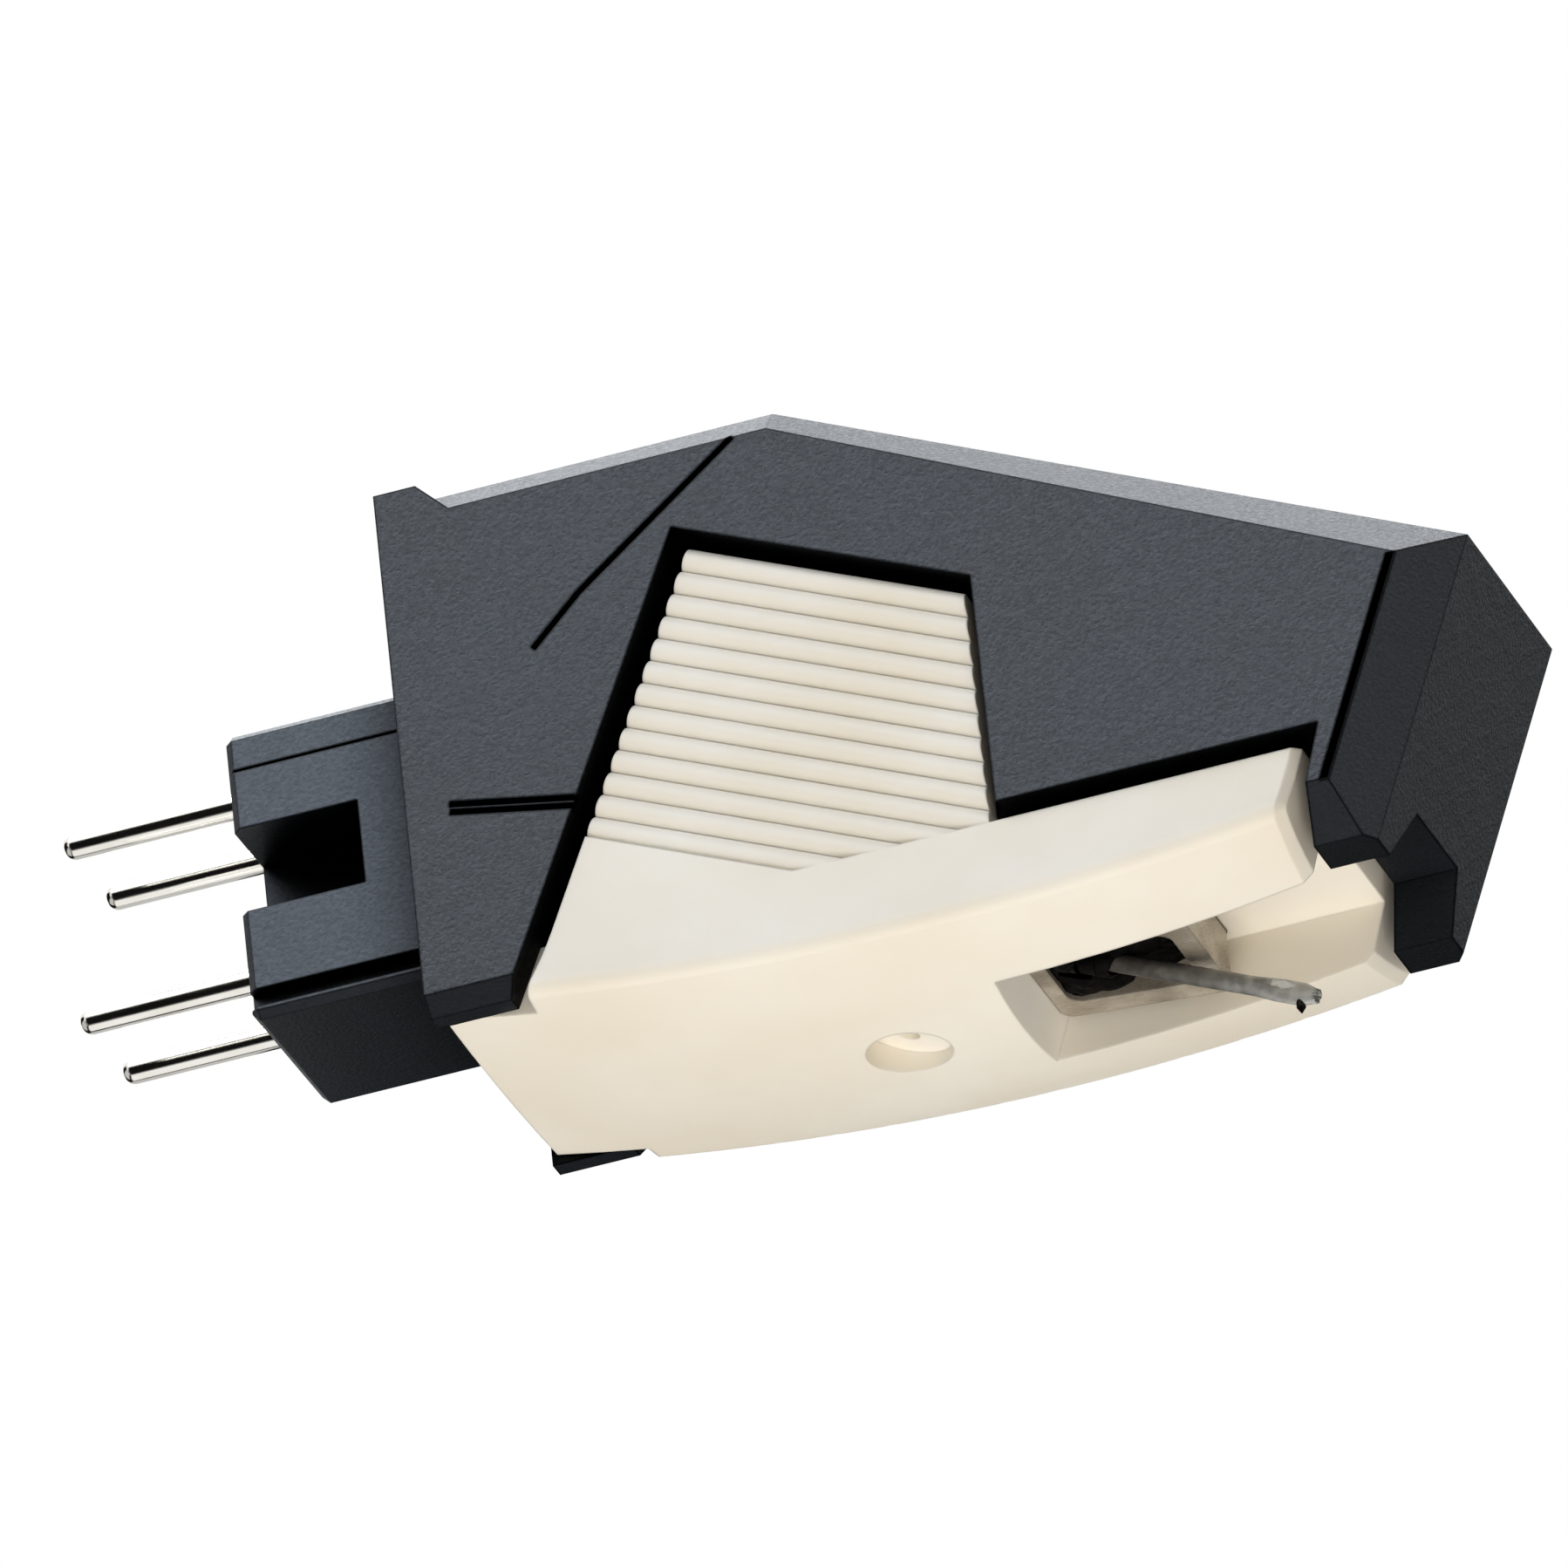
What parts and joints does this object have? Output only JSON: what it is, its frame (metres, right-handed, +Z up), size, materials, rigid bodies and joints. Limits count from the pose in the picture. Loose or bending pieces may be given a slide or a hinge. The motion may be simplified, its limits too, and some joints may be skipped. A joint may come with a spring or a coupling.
{
  "type": "phono cartridge",
  "caption": "Plug-in moving-magnet phono cartridge: dark wedge body, rear plug pins, ribbed ivory stylus holder",
  "frame": {"origin": "middle of the four plug pins, at the rear face of the connector block", "axes": "X from the plug to the nose, Y to the left seen from behind, Z up with the stylus below"},
  "size_m": [0.038, 0.0106, 0.0179],
  "materials": {
    "dark_moulding": "fine-grained charcoal moulding with a satin sheen",
    "plug_moulding": "smooth charcoal moulding",
    "ivory_moulding": "satin ivory moulding",
    "pin_nickel": "polished nickel plate",
    "bright_metal": "bright drawn metal",
    "cantilever_alloy": "drawn alloy tube",
    "damper_rubber": "matte black rubber",
    "diamond": "polished stone",
    "magnet_metal": "ground magnet alloy",
    "screen_metal": "rolled metal sheet",
    "anchor_brass": "turned brass",
    "copper_wire": "enamelled copper wire"
  },
  "bodies": {
    "body": {"body_shell": "dark_moulding", "connector_block": "plug_moulding", "coil_carrier": "plug_moulding", "shield_plate": "screen_metal", "core_left": "screen_metal", "bobbin_left": "ivory_moulding", "winding_left": "copper_wire", "pin_left_signal": "pin_nickel", "lead_left_signal": "copper_wire", "pin_left_return": "pin_nickel", "lead_left_return": "copper_wire", "core_right": "screen_metal", "bobbin_right": "ivory_moulding", "winding_right": "copper_wire", "pin_right_signal": "pin_nickel", "lead_right_signal": "copper_wire", "pin_right_return": "pin_nickel", "lead_right_return": "copper_wire"},
    "stylus_unit": {"stylus_holder": "ivory_moulding", "cantilever_sleeve": "bright_metal", "damper": "damper_rubber", "tension_wire": "screen_metal", "wire_anchor": "anchor_brass"},
    "collar": {"pivot_collar": "damper_rubber"},
    "moving_system": {"cantilever": "cantilever_alloy", "stylus_tip": "diamond", "magnet_ring": "plug_moulding", "magnet_left": "magnet_metal", "magnet_right": "magnet_metal"}
  },
  "joints": [
    {"name": "stylus_pull", "type": "slide", "parent": "body", "child": "stylus_unit", "axis": [-0.4258, 0, -0.9048], "range_m": [0, 0.014]},
    {"name": "cantilever_side", "type": "hinge", "parent": "stylus_unit", "child": "collar", "pos_m": [0.02125, 0, -0.00676], "axis": [0, 0, 1], "range_deg": [-2.5, 2.5], "stiffness_Nm_per_rad": 0.0036, "deforming": ["damper"]},
    {"name": "cantilever_lift", "type": "hinge", "parent": "collar", "child": "moving_system", "pos_m": [0.02125, 0, -0.00676], "axis": [0, 1, 0], "range_deg": [-3, 3], "stiffness_Nm_per_rad": 0.0036, "deforming": ["damper"]}
  ]
}
